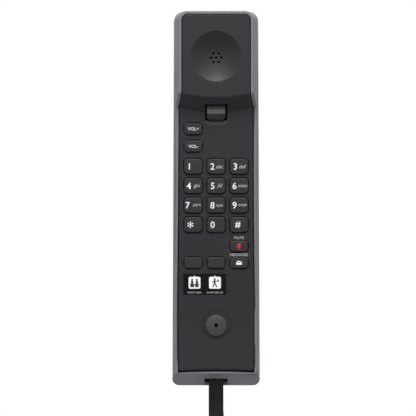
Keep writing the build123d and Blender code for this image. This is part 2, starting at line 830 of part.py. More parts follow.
def make_parts():
    nodes = {}
    nodes["handset_back_shell"] = make_back_shell()
    nodes["handset_face_shell"] = make_face_shell()
    ear_z = top - ear_from_top
    capsule_front = ear_face - dish_sink - dish_wall - gasket_height - 0.05
    nodes["receiver_capsule"] = peg(0, ear_z, capsule_front - receiver_height, receiver_r, receiver_height)
    ring = slab(Circle(receiver_r - 1) - Circle(receiver_r - 1 - gasket_wall), capsule_front, ear_face)
    nodes["receiver_gasket"] = Pos(0, 0, ear_z) * ring & slab(
        Rectangle(far, far * 2), capsule_front, ear_face) - dish_ball(dish_wall + 0.02)
    nodes["receiver_leads"] = make_receiver_leads()
    mic_z = bottom + mic_from_bottom
    mic_back = board_top_depth + 0.3
    nodes["microphone_capsule"] = peg(0, mic_z, mic_back, mic_capsule_r, mic_capsule_height)
    boot = peg(0, mic_z, mic_back, mic_capsule_r + boot_wall, mic_capsule_height + 0.6)
    nodes["microphone_boot"] = boot - peg(0, mic_z, mic_back - 1, mic_capsule_r, mic_capsule_height + 1) - peg(
        0, mic_z, mic_back, mic_hole_r, 9)
    mat_high = top - other_keys[0][2] + mat_margin
    mat_low = top - other_keys[-1][2] - mat_margin
    nodes["keypad_mat"] = block(0, (mat_high + mat_low) / 2, board_top_depth, mat_width, mat_high - mat_low,
                                mat_thickness)
    for name, x, z, width, height, radius in key_table():
        nodes[name] = Pos(x, 0, z) * make_key(width, height, radius)
    card_x = card_left + card_width / 2
    card_z = top - card_from_top
    card_back = key_face - card_thickness - window_thickness
    nodes["speed_dial_card"] = block(card_x, card_z, card_back, card_width - 2 * card_gap,
                                     card_height - 2 * card_gap, card_thickness)
    nodes["card_window"] = block(card_x, card_z, card_back + card_thickness, card_width - 2 * card_gap,
                                 card_height - 2 * card_gap, window_thickness)
    board_high = top - board_top
    board_low = bottom + board_from_bottom
    nodes["handset_circuit_board"] = block(0, (board_high + board_low) / 2, board_depth, board_width,
                                           board_high - board_low, board_thickness)
    nodes["board_components"] = make_board_components()
    nodes["hook_lever"] = make_lever()
    nodes["hook_lever_pin"] = pivot_peg(lever_pin_r, -lever_pin_length / 2, lever_pin_length / 2)
    nodes["hook_spring"] = make_hook_spring()
    nodes["hook_switch"] = block(0, top - recess_head - 6.5, board_top_depth, 4.5, 4.5, 0.8) + peg(
        0, top - recess_head - 6.5, board_top_depth, 1.2, 1.2)
    nodes["handset_jack"] = make_jack()
    contact_depth = plug_depth + plug_thickness / 2 + plug_gap + contact_size / 2
    nodes["handset_jack_contacts"] = contact_row(bottom + jack_from_bottom + 2, 11, contact_depth)
    nodes["balance_weight"] = block(0, weight_z, back + back_wall, weight_size[0], weight_size[1], weight_size[2])
    nodes["hook_magnet"] = block(0, magnet_z, back + back_wall, magnet_size[0], magnet_size[1], magnet_size[2])
    nodes["shell_screws"] = make_screws(screw_places(), back + post_wall_top() - post_floor - screw_head_height,
                                        screw_head_r, screw_head_height, screw_r, screw_shank + post_floor - 1)
    nodes["cord_plug_handset"] = make_plug(2, cord_exit_z, plug_depth, plug_length)
    nodes["handset_cord"] = make_cord(handset_route, "handset lead")
    nodes["cradle_cover"] = make_cradle_cover()
    nodes["cradle_back_plate"] = make_back_plate()
    nodes["cradle_screws"] = make_screws(cradle_screw_places(), plate_thickness / 2 - 1, screw_head_r, 1.0,
                                         screw_r, screw_shank)
    nodes["cradle_pads"] = make_pads()
    board_w, board_h = cradle_board_size
    nodes["cradle_circuit_board"] = block(0, 0, cradle_board_depth, board_w, board_h, board_thickness)
    nodes["cradle_components"] = make_cradle_components()
    reed_depth = cradle_board_depth + board_thickness + reed_r
    nodes["reed_switch"] = Pos(0, -reed_depth, magnet_z - 8) * Rot(0, 90, 0) * Cylinder(reed_r, reed_length)
    nodes["ringer"] = peg(0, ringer_z, cradle_depth - cradle_wall - ringer_height, ringer_r, ringer_height)
    nodes["line_jack"] = make_line_jack()
    nodes["line_jack_contacts"] = contact_row(-3.2, 0.4, 7.0)
    nodes["cradle_jack"] = make_cradle_jack()
    cradle_contact = cradle_jack_depth() + plug_thickness / 2 + plug_gap + contact_size / 2
    nodes["cradle_jack_contacts"] = contact_row(-cradle_height / 2 + cradle_wall + 2, 11, cradle_contact)
    nodes["cord_plug_cradle"] = make_plug(2, cradle_exit_z, cradle_jack_depth(), plug_length - 1)
    nodes["return_cord"] = make_cord(cradle_route, "return lead")
    nodes["cord_hank"] = make_hank()
    nodes["cord_tie"] = make_tie()
    return nodes


os.makedirs("parts", exist_ok=True)
for node, shape in make_parts().items():
    export_step(shape, "parts/" + node + ".step")
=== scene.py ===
import bpy
import json
import math
import numpy as np
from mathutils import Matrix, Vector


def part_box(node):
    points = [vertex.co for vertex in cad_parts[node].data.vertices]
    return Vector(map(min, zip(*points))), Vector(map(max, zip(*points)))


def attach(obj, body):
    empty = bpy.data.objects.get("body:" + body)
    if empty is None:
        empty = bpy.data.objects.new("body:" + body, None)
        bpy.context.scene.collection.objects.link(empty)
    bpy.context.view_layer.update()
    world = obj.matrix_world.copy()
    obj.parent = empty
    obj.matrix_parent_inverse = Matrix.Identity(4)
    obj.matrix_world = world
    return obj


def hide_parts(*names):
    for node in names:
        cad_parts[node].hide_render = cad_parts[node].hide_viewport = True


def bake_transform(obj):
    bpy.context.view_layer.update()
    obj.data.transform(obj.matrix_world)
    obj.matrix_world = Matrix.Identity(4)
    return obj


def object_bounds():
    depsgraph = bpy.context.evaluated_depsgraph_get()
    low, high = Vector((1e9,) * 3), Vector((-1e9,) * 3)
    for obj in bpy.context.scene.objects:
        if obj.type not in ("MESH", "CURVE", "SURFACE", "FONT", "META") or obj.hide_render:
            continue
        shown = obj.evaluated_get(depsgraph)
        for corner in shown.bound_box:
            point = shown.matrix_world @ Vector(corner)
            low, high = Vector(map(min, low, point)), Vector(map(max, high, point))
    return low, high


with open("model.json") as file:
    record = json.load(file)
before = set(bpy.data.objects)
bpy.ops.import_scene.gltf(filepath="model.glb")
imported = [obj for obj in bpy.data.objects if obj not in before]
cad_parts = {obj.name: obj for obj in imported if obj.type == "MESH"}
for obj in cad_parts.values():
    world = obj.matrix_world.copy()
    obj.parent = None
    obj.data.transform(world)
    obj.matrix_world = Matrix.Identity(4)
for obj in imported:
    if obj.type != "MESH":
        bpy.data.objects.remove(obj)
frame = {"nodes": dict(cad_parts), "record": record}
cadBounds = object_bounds()
nodes = frame["nodes"]
mm = 0.001


def boxOf(name):
    low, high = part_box(name)
    return np.array(low), np.array(high)


handsetBottom = float(boxOf("handset_back_shell")[0][2])
print("stage: frame loaded")


cameraPlace = {
    "distance": 1.5,
    "side": -4.7 * mm,
    "rise": -5.2 * mm,
    "plane": -38 * mm,
    "view": 241.8 * mm,
    "sensor": 36,
}


def makeCamera(place):
    data = bpy.data.cameras.new("camera")
    data.type = "PERSP"
    data.sensor_width = place["sensor"]
    data.lens = place["sensor"] * place["distance"] / place["view"]
    data.clip_start = 0.05
    data.clip_end = 20
    camera = bpy.data.objects.new("camera", data)
    camera.location = (place["side"], place["plane"] - place["distance"], place["rise"])
    camera.rotation_euler = (math.radians(90), 0, 0)
    bpy.context.collection.objects.link(camera)
    bpy.context.scene.camera = camera


lampSet = {
    "overhead": {"at": (0.0, -0.55, 1.1), "aim": (0, -0.03, 0.0), "size": 0.5, "power": 26.0},
    "leftFill": {"at": (-1.0, -0.7, 0.3), "aim": (0, -0.03, 0.0), "size": 0.7, "power": 2.2},
    "rightFill": {"at": (1.0, -0.7, 0.3), "aim": (0, -0.03, 0.0), "size": 0.7, "power": 2.0},
    "front": {"at": (0.0, -1.3, 0.5), "aim": (0, -0.03, -0.06), "size": 0.4, "power": 4.0},
}


def makeLamp(name, place):
    data = bpy.data.lights.new(name, "AREA")
    data.size = place["size"]
    data.energy = place["power"]
    lamp = bpy.data.objects.new(name, data)
    lamp.location = place["at"]
    way = np.array(place["aim"]) - np.array(place["at"])
    flat = math.hypot(way[0], way[1])
    lamp.rotation_euler = (math.pi / 2 + math.atan2(way[2], flat), 0, -math.atan2(way[0], way[1]))
    bpy.context.collection.objects.link(lamp)


def makeBackdrop():
    bpy.context.scene.view_settings.view_transform = "Standard"
    world = bpy.data.worlds.new("studio")
    bpy.context.scene.world = world
    world.use_nodes = True
    tree = world.node_tree
    tree.nodes.clear()
    out = tree.nodes.new("ShaderNodeOutputWorld")
    pathNode = tree.nodes.new("ShaderNodeLightPath")
    dim = tree.nodes.new("ShaderNodeBackground")
    dim.inputs["Color"].default_value = (0.9, 0.95, 1.0, 1)
    dim.inputs["Strength"].default_value = 0.12
    white = tree.nodes.new("ShaderNodeBackground")
    white.inputs["Strength"].default_value = 1.0
    mix = tree.nodes.new("ShaderNodeMixShader")
    either = tree.nodes.new("ShaderNodeMath")
    either.operation = "MAXIMUM"
    anyRay = tree.nodes.new("ShaderNodeMath")
    anyRay.operation = "MAXIMUM"
    tree.links.new(pathNode.outputs["Is Camera Ray"], either.inputs[0])
    tree.links.new(pathNode.outputs["Is Glossy Ray"], either.inputs[1])
    tree.links.new(either.outputs[0], anyRay.inputs[0])
    tree.links.new(pathNode.outputs["Is Transmission Ray"], anyRay.inputs[1])
    tree.links.new(anyRay.outputs[0], mix.inputs[0])
    tree.links.new(dim.outputs[0], mix.inputs[1])
    tree.links.new(white.outputs[0], mix.inputs[2])
    tree.links.new(mix.outputs[0], out.inputs["Surface"])
    low = float(cadBounds[0][2])
    floor = gridPiece("studioFloor", planeGrid((-2, -3, low - 0.03), (4, 0, 0), (0, 4, 0)), False)
    wall = gridPiece("studioWall", planeGrid((-2, 0.3, low - 0.03), (4, 0, 0), (0, 0, 3)), False)
    for piece, lit in ((floor, 0.55), (wall, 1.0)):
        piece.data.materials.append(stageMaterial(piece.name + "Paint", lit))


def planeGrid(corner, across, up):
    # two parameters from 0 to 1 slide a corner along two edges
    u, v = np.meshgrid(np.linspace(0, 1, 2), np.linspace(0, 1, 2))
    points = np.array(corner) + u[..., None] * np.array(across) + v[..., None] * np.array(up)
    return points


def stageMaterial(name, lit):
    material = bpy.data.materials.new(name)
    material.use_nodes = True
    tree = material.node_tree
    tree.nodes.clear()
    out = tree.nodes.new("ShaderNodeOutputMaterial")
    paint = tree.nodes.new("ShaderNodeBsdfDiffuse")
    paint.inputs["Color"].default_value = (0.5, 0.5, 0.5, 1)
    glow = tree.nodes.new("ShaderNodeEmission")
    pathNode = tree.nodes.new("ShaderNodeLightPath")
    rays = tree.nodes.new("ShaderNodeMath")
    rays.operation = "MAXIMUM"
    more = tree.nodes.new("ShaderNodeMath")
    more.operation = "MAXIMUM"
    share = tree.nodes.new("ShaderNodeMath")
    share.operation = "MULTIPLY"
    share.inputs[1].default_value = lit
    mix = tree.nodes.new("ShaderNodeMixShader")
    clear = tree.nodes.new("ShaderNodeBsdfTransparent")
    geometry = tree.nodes.new("ShaderNodeNewGeometry")
    last = tree.nodes.new("ShaderNodeMixShader")
    link = tree.links.new
    link(pathNode.outputs["Is Camera Ray"], rays.inputs[0])
    link(pathNode.outputs["Is Glossy Ray"], rays.inputs[1])
    link(rays.outputs[0], more.inputs[0])
    link(pathNode.outputs["Is Transmission Ray"], more.inputs[1])
    link(more.outputs[0], share.inputs[0])
    link(share.outputs[0], mix.inputs[0])
    link(paint.outputs[0], mix.inputs[1])
    link(glow.outputs[0], mix.inputs[2])
    link(geometry.outputs["Backfacing"], last.inputs[0])
    link(mix.outputs[0], last.inputs[1])
    link(clear.outputs[0], last.inputs[2])
    link(last.outputs[0], out.inputs["Surface"])
    return material


def gridPiece(name, points, closed, caps=False):
    # points is rows by columns by 3; closed joins the last column to the first; caps shut both end rows
    rows, columns = points.shape[:2]
    index = np.arange(rows * columns).reshape(rows, columns)
    if closed:
        index = np.hstack([index, index[:, :1]])
    quads = np.stack([index[:-1, :-1], index[:-1, 1:], index[1:, 1:], index[1:, :-1]], -1)
    faces = quads.reshape(-1, 4).tolist()
    if caps:
        faces.append(list(range(columns))[::-1])
        faces.append(list(range((rows - 1) * columns, rows * columns)))
    mesh = bpy.data.meshes.new(name)
    mesh.from_pydata(points.reshape(-1, 3).tolist(), [], faces)
    return meshPiece(name, mesh)


def meshPiece(name, mesh, smooth=True):
    mesh.update()
    if smooth:
        mesh.shade_smooth()
        mesh.set_sharp_from_angle(angle=math.radians(35))
    piece = bpy.data.objects.new(name, mesh)
    bpy.context.collection.objects.link(piece)
    return piece


def finishPiece(piece, body, material):
    piece.data.materials.clear()
    piece.data.materials.append(material)
    if body:
        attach(piece, body)
    return piece


def superRing(halfWidth, halfHeight, power, count):
    # superellipse: the cosine and sine of an angle, each raised to two over the power, sign kept
    angle = np.linspace(0, 2 * np.pi, count, endpoint=False)
    c, s = np.cos(angle), np.sin(angle)
    x = halfWidth * np.sign(c) * np.abs(c) ** (2 / power)
    z = halfHeight * np.sign(s) * np.abs(s) ** (2 / power)
    return x, z


def cleanCopy(nodeName, name, bevel, angle=30):
    # a merged copy of a CAD node with its edges broken by a small bevel
    import bmesh
    source = nodes[nodeName]
    mesh = source.data.copy()
    work = bmesh.new()
    work.from_mesh(mesh)
    bmesh.ops.remove_doubles(work, verts=work.verts, dist=0.002 * mm)
    flatAngle = math.radians(0.5)
    bmesh.ops.dissolve_limit(work, angle_limit=flatAngle, verts=work.verts, edges=work.edges)
    work.to_mesh(mesh)
    work.free()
    mesh.name = name
    mesh.shade_smooth()
    mesh.set_sharp_from_angle(angle=math.radians(angle))
    piece = bpy.data.objects.new(name, mesh)
    bpy.context.collection.objects.link(piece)
    if bevel:
        edge = piece.modifiers.new("edge", "BEVEL")
        edge.width = bevel
        edge.segments = 2
        edge.limit_method = "ANGLE"
        edge.angle_limit = math.radians(angle)
        edge.use_clamp_overlap = True
    even = piece.modifiers.new("even", "WEIGHTED_NORMAL")  # flat faces stay flat beside fillets
    even.keep_sharp = True
    even.weight = 100
    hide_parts(nodeName)
    return piece


def makeGrainGroup():
    # fine moulded grain as a bump, with a slow drift of tone and gloss over the surface
    group = bpy.data.node_groups.new("mouldedGrain", "ShaderNodeTree")
    inlets = {"Color": "Color", "Grain": "Float", "Depth": "Float", "Drift": "Float", "Gloss": "Float"}
    outlets = {"Color": "Color", "Roughness": "Float", "Normal": "Vector"}
    for side, sockets in (("INPUT", inlets), ("OUTPUT", outlets)):
        for name, kind in sockets.items():
            group.interface.new_socket(name, in_out=side, socket_type="NodeSocket" + kind)
    n = group.nodes
    link = group.links.new
    inlet = n.new("NodeGroupInput")
    outlet = n.new("NodeGroupOutput")
    place = n.new("ShaderNodeTexCoord")
    fine = n.new("ShaderNodeTexNoise")
    fine.inputs["Detail"].default_value = 3
    slow = n.new("ShaderNodeTexNoise")
    slow.inputs["Scale"].default_value = 28
    slow.inputs["Detail"].default_value = 4
    bump = n.new("ShaderNodeBump")
    bump.inputs["Distance"].default_value = 0.0002
    swing = n.new("ShaderNodeMapRange")
    swing.inputs["From Min"].default_value = 0.3
    swing.inputs["From Max"].default_value = 0.7
    lowSide = n.new("ShaderNodeMath")
    lowSide.operation = "SUBTRACT"
    lowSide.inputs[0].default_value = 1
    highSide = n.new("ShaderNodeMath")
    highSide.operation = "ADD"
    highSide.inputs[0].default_value = 1
    tone = n.new("ShaderNodeVectorMath")
    tone.operation = "SCALE"
    gloss = n.new("ShaderNodeMath")
    gloss.operation = "MULTIPLY"
    speck = n.new("ShaderNodeMapRange")
    speck.inputs["From Min"].default_value = 0.35
    speck.inputs["From Max"].default_value = 0.65
    speck.inputs["To Min"].default_value = 0.94
    speck.inputs["To Max"].default_value = 1.06
    both = n.new("ShaderNodeMath")
    both.operation = "MULTIPLY"
    link(place.outputs["Object"], fine.inputs["Vector"])
    link(place.outputs["Object"], slow.inputs["Vector"])
    link(inlet.outputs["Grain"], fine.inputs["Scale"])
    link(fine.outputs["Fac"], bump.inputs["Height"])
    link(inlet.outputs["Depth"], bump.inputs["Strength"])
    link(inlet.outputs["Drift"], lowSide.inputs[1])
    link(inlet.outputs["Drift"], highSide.inputs[1])
    link(slow.outputs["Fac"], swing.inputs["Value"])
    link(lowSide.outputs[0], swing.inputs["To Min"])
    link(highSide.outputs[0], swing.inputs["To Max"])
    link(fine.outputs["Fac"], speck.inputs["Value"])
    link(swing.outputs[0], both.inputs[0])
    link(speck.outputs[0], both.inputs[1])
    link(inlet.outputs["Color"], tone.inputs[0])
    link(both.outputs[0], tone.inputs["Scale"])
    link(inlet.outputs["Gloss"], gloss.inputs[0])
    link(swing.outputs[0], gloss.inputs[1])
    link(tone.outputs[0], outlet.inputs["Color"])
    link(gloss.outputs[0], outlet.inputs["Roughness"])
    link(bump.outputs[0], outlet.inputs["Normal"])
    return group


grainGroup = makeGrainGroup()


def makeMaterial(name, color, rough, grain=2600, depth=0.2, drift=0.06, metallic=0.0, specular=0.5,
                 transmission=0.0):
    material = bpy.data.materials.new(name)
    material.use_nodes = True
    tree = material.node_tree
    shader = tree.nodes["Principled BSDF"]
    group = tree.nodes.new("ShaderNodeGroup")
    group.node_tree = grainGroup
    group.inputs["Color"].default_value = (*color, 1)
    group.inputs["Grain"].default_value = grain
    group.inputs["Depth"].default_value = depth
    group.inputs["Drift"].default_value = drift
    group.inputs["Gloss"].default_value = rough
    tree.links.new(group.outputs["Color"], shader.inputs["Base Color"])
    tree.links.new(group.outputs["Roughness"], shader.inputs["Roughness"])
    tree.links.new(group.outputs["Normal"], shader.inputs["Normal"])
    shader.inputs["Metallic"].default_value = metallic
    shader.inputs["Specular IOR Level"].default_value = specular
    shader.inputs["Transmission Weight"].default_value = transmission
    return material


finishes = {
    "shell_grey": makeMaterial("shellGrey", (0.125, 0.126, 0.142), 0.5,
                               grain=2200, depth=0.22, drift=0.05, specular=0.3),
    "face_black": makeMaterial("faceBlack", (0.0135, 0.013, 0.015), 0.45,
                               grain=2600, depth=0.25, drift=0.05, specular=0.2),
    "key_black": makeMaterial("keyBlack", (0.0175, 0.0175, 0.018), 0.55,
                              grain=3200, depth=0.4, drift=0.05, specular=0.2),
    "lever_black": makeMaterial("leverBlack", (0.02, 0.02, 0.021), 0.38,
                                grain=2600, depth=0.15, specular=0.25),
    "cradle_grey": makeMaterial("cradleGrey", (0.14, 0.14, 0.155), 0.55,
                                grain=2200, depth=0.25, specular=0.3),
    "plate_black": makeMaterial("plateBlack", (0.04, 0.04, 0.045), 0.6, grain=1800, depth=0.35),
    "screw_steel": makeMaterial("screwSteel", (0.55, 0.55, 0.56), 0.35,
                                grain=4000, depth=0.1, metallic=1.0),
    # the metal capsule is painted near black with almost no specular: painted shade for the dark holes
    # in front of it, not the metal's own colour
    "capsule_metal": makeMaterial("capsulePaintedShade", (0.012, 0.012, 0.012), 0.6,
                                  grain=1500, depth=0.4, specular=0.05),
    "foam": makeMaterial("foamPad", (0.02, 0.02, 0.02), 0.95, grain=1500, depth=0.9),
    "lead_jacket": makeMaterial("leadJacket", (0.5, 0.04, 0.03), 0.5),
    "rubber_black": makeMaterial("rubberBlack", (0.02, 0.02, 0.02), 0.8, grain=1500, depth=0.3),
    "rubber_grey": makeMaterial("rubberGrey", (0.25, 0.25, 0.25), 0.75),
    "card_black": makeMaterial("cardBlack", (0.006, 0.006, 0.007), 0.5, depth=0.05),
    "board_green": makeMaterial("boardGreen", (0.002, 0.008, 0.004), 0.6,
                                grain=600, depth=0.2, drift=0.2, specular=0.05),
    "component_black": makeMaterial("componentBlack", (0.02, 0.02, 0.02), 0.5),
    "weight_iron": makeMaterial("weightIron", (0.2, 0.2, 0.2), 0.6,
                                grain=900, depth=0.6, metallic=1.0),
    "magnet": makeMaterial("magnetNickel", (0.5, 0.5, 0.5), 0.3, metallic=1.0),
    "pin_steel": makeMaterial("pinSteel", (0.55, 0.55, 0.55), 0.3, metallic=1.0),
    "spring_steel": makeMaterial("springSteel", (0.45, 0.45, 0.45), 0.35, metallic=1.0),
    "jack_black": makeMaterial("jackBlack", (0.015, 0.015, 0.015), 0.5),
    "contact_gold": makeMaterial("contactGold", (0.8, 0.55, 0.18), 0.25, metallic=1.0),
    "plug_clear": makeMaterial("plugSmoke", (0.01, 0.01, 0.01), 0.3, depth=0.05, specular=0.2),
    "cord_black": makeMaterial("cordBlack", (0.006, 0.006, 0.007), 0.5,
                               grain=1400, depth=0.15, specular=0.15),
    "tie_fabric": makeMaterial("tieFabric", (0.016, 0.016, 0.016), 0.9, grain=1600, depth=1.0),
    "reed_glass": makeMaterial("reedGlass", (0.5, 0.65, 0.6), 0.1, depth=0.0, transmission=0.6),
    "ringer_brass": makeMaterial("ringerBrass", (0.7, 0.5, 0.22), 0.3, metallic=1.0),
    "clear_window": makeMaterial("windowSmoke", (0.003, 0.003, 0.0032), 0.3,
                                 depth=0.02, drift=0.02, specular=0.1),
}
finishes["mic_dial"] = makeMaterial("dialBlack", (0.034, 0.034, 0.036), 0.5,
                                    grain=1600, depth=0.4, specular=0.25)
printWhite = makeMaterial("printWhite", (0.72, 0.72, 0.72), 0.6, grain=5000, depth=0.1, drift=0.03)
printDim = makeMaterial("printDim", (0.38, 0.38, 0.38), 0.6, grain=5000, depth=0.1, drift=0.03)
printRed = makeMaterial("printRed", (0.42, 0.006, 0.008), 0.55, grain=5000, depth=0.1, drift=0.03)
print("stage: materials made")


def paintNodes():
    slotOf = {part["node"]: part["material_slot"] for part in frame["record"]["subparts"]}
    for name, node in nodes.items():
        node.data.materials.clear()
        node.data.materials.append(finishes[slotOf[name]])
    return slotOf


slotOf = paintNodes()
makeCamera(cameraPlace)
for lampName, lampPlace in lampSet.items():
    makeLamp(lampName, lampPlace)
makeBackdrop()
print("stage: camera, lamps and backdrop")


shellEdge = {  # width of the added bevel; the shells' edges are round already
    "handset_back_shell": 0.0,
    "handset_face_shell": 0.0,
    "hook_lever": 0.3 * mm,
    "cradle_cover": 0.0,
}


def makeShells():
    for name, bevel in shellEdge.items():
        piece = cleanCopy(name, name + "_finished", bevel)
        body = {"hook_lever": "hook_lever_body", "cradle_cover": "cradle"}.get(name, "handset")
        finishPiece(piece, body, finishes[slotOf[name]])


makeShells()
print("stage: shells")


capShape = {
    "power": 5.5,
    "flangePower": 6.0,
    "edge": 0.55 * mm,
    "crown": 0.16 * mm,
    "rings": 6,
    "around": 72,
    "inward": (0.9, 0.75, 0.5, 0.25, 0.02),
}
keyNames = [name for name in nodes if name.startswith("key_")]
flangeLip = 0.95 * mm
flangeThick = 1.0 * mm


def crownDrop(x, z, halfWidth, halfHeight, crown):
    # the cap's top falls away as the square of the distance from its middle on each axis
    return crown * ((x / halfWidth) ** 2 + (z / halfHeight) ** 2) / 2


def makeKeyCap(name):
    low, high = boxOf(name)
    middle = (low + high) / 2
    halfWidth = (high[0] - low[0]) / 2
    halfHeight = (high[2] - low[2]) / 2
    capWidth = halfWidth - flangeLip
    capHeight = halfHeight - flangeLip
    front, rear = low[1], high[1]
    shelf = rear - flangeThick
    around, power, crown = capShape["around"], capShape["power"], capShape["crown"]
    flange = (halfWidth, halfHeight)
    ringsOut = [
        (*flange, rear, capShape["flangePower"]),
        (*flange, shelf, capShape["flangePower"]),
        (capWidth, capHeight, shelf, power),
    ]
    rows = []
    for w, h, y, bend in ringsOut:
        x, z = superRing(w, h, bend, around)
        rows.append(np.stack([x, np.full_like(x, y), z], -1))
    edge = capShape["edge"]
    turn = np.linspace(0, np.pi / 2, capShape["rings"])
    for angle in turn:  # quarter-round shoulder
        inset = edge * (1 - math.cos(angle))
        x, z = superRing(capWidth - inset, capHeight - inset, power, around)
        y = front + edge * (1 - math.sin(angle)) + crownDrop(x, z, capWidth, capHeight, crown)
        rows.append(np.stack([x, y, z], -1))
    for share in capShape["inward"]:
        x, z = superRing((capWidth - edge) * share, (capHeight - edge) * share, power, around)
        y = front + crownDrop(x, z, capWidth, capHeight, crown)
        rows.append(np.stack([x, y, z], -1))
    points = np.array(rows)
    points[..., 0] += middle[0]
    points[..., 2] += middle[2]
    piece = gridPiece(name + "_cap", points[:, ::-1], True, caps=True)
    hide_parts(name)
    finishPiece(piece, name + "_body", finishes["key_black"])
    return middle, front, capWidth, capHeight


capPlaces = {name: makeKeyCap(name) for name in keyNames}
print("stage: keys", len(keyNames))


legendText = {  # digit or word, its letters, and how far the digit stands to the left in millimetres
    "key_1": ("1", "", 2.2),
    "key_2": ("2", "abc", 2.1),
    "key_3": ("3", "def", 2.2),
    "key_4": ("4", "ghi", 2.5),
    "key_5": ("5", "jkl", 2.0),
    "key_6": ("6", "mno", 2.6),
    "key_7": ("7", "pqrs", 3.2),
    "key_8": ("8", "tuv", 2.1),
    "key_9": ("9", "wxyz", 2.6),
    "key_star": ("*", "", 1.6),
    "key_0": ("0", "", 2.0),
    "key_pound": ("#", "", 0.7),
    "key_volume_up": ("VOL+", "", -0.1),
    "key_volume_down": ("VOL-", "", -0.1),
}
legendShape = {
    "digit": 5.3 * mm,
    "letters": 3.0 * mm,
    "longLetters": 0.82,
    "lettersRight": 2.1 * mm,
    "lettersDown": 0.1 * mm,
    "star": 1.55,
    "volume": 2.55 * mm,
    "bold": 0.03 * mm,
    "slant": 0.2,
    "lift": 0.03 * mm,
    "label": 2.3 * mm,
    "muteRise": 1.55 * mm,
    "messagesRise": 1.45 * mm,
}


def textMesh(text, size, bold=0.0, slant=0.0):
    curve = bpy.data.curves.new("line", "FONT")
    curve.shear = slant
    curve.body = text
    curve.size = size
    curve.offset = bold
    curve.align_x = "CENTER"
    curve.align_y = "CENTER"
    curve.resolution_u = 4
    holder = bpy.data.objects.new("line", curve)
    bpy.context.collection.objects.link(holder)
    bpy.context.view_layer.update()
    graph = bpy.context.evaluated_depsgraph_get()
    mesh = bpy.data.meshes.new_from_object(holder.evaluated_get(graph))
    bpy.data.objects.remove(holder)
    return mesh


def standText(mesh, x, y, z, curve=None):
    # the flat text's own x stays across and its y becomes height; it then takes the surface's depth
    count = len(mesh.vertices)
    flat = np.empty(count * 3)
    mesh.vertices.foreach_get("co", flat)
    flat = flat.reshape(-1, 3)
    middle = (flat.min(0) + flat.max(0)) / 2
    px = flat[:, 0] - middle[0] + x
    pz = flat[:, 1] - middle[1] + z
    py = np.full(count, y)
    if curve is not None:
        py = curve(px, pz)
    mesh.vertices.foreach_set("co", np.stack([px, py, pz], -1).ravel())
    mesh.update()
    return mesh


def printLine(name, text, size, x, y, z, body, material, bold=0.0, curve=None, slant=0.0):
    mesh = standText(textMesh(text, size, bold, slant), x, y, z, curve)
    piece = meshPiece(name, mesh, smooth=False)
    return finishPiece(piece, body, material)


def capSurface(place):
    middle, front, capWidth, capHeight = place

    def surface(px, pz):
        drop = crownDrop(px - middle[0], pz - middle[2], capWidth, capHeight, capShape["crown"])
        return front + drop - legendShape["lift"]

    return surface


def printKeys():
    for name, (big, small, left) in legendText.items():
        middle, front = capPlaces[name][:2]
        surface = capSurface(capPlaces[name])
        body = name + "_body"
        x = middle[0] - left * mm
        if name.startswith("key_volume"):
            size = legendShape["volume"]
            printLine(name + "_legend", big, size, x, front, middle[2], body, printWhite, 0, surface)
            continue
        size = legendShape["digit"] * (legendShape["star"] if big == "*" else 1)
        printLine(name + "_legend", big, size, x, front, middle[2], body, printWhite,
                  legendShape["bold"], surface)
        if small:
            letters = legendShape["letters"] * (legendShape["longLetters"] if len(small) > 3 else 1)
            printLine(name + "_letters", small, letters, middle[0] + legendShape["lettersRight"], front,
                      middle[2] - legendShape["lettersDown"], body, printDim, 0, surface,
                      legendShape["slant"])


printKeys()


def polygonPiece(name, outlines, body, material, y=None, curve=None):
    # each outline is a list of (x, z) corners; all of them become flat faces in one piece
    points, faces = [], []
    for outline in outlines:
        faces.append(list(range(len(points), len(points) + len(outline))))
        points.extend(outline)
    flat = np.array(points)
    depth = np.full(len(flat), y) if curve is None else curve(flat[:, 0], flat[:, 1])
    mesh = bpy.data.meshes.new(name)
    mesh.from_pydata(np.stack([flat[:, 0], depth, flat[:, 1]], -1).tolist(), [], faces)
    piece = meshPiece(name, mesh, smooth=False)
    return finishPiece(piece, body, material)


def roundedOutline(x, z, halfWidth, halfHeight, power=8, count=40):
    px, pz = superRing(halfWidth, halfHeight, power, count)
    return np.stack([x + px, z + pz], -1).tolist()


def boxOutline(x0, z0, x1, z1):
    return [(x0, z0), (x1, z0), (x1, z1), (x0, z1)]


def strokeOutline(x0, z0, x1, z1, width):
    # a straight stroke of even width between two points
    dx, dz = x1 - x0, z1 - z0
    size = math.hypot(dx, dz)
    nx, nz = -dz / size * width / 2, dx / size * width / 2
    return [(x0 - nx, z0 - nz), (x1 - nx, z1 - nz), (x1 + nx, z1 + nz), (x0 + nx, z0 + nz)]


def discOutline(x, z, radius, count=20):
    angle = np.linspace(0, 2 * np.pi, count, endpoint=False)
    return np.stack([x + radius * np.cos(angle), z + radius * np.sin(angle)], -1).tolist()


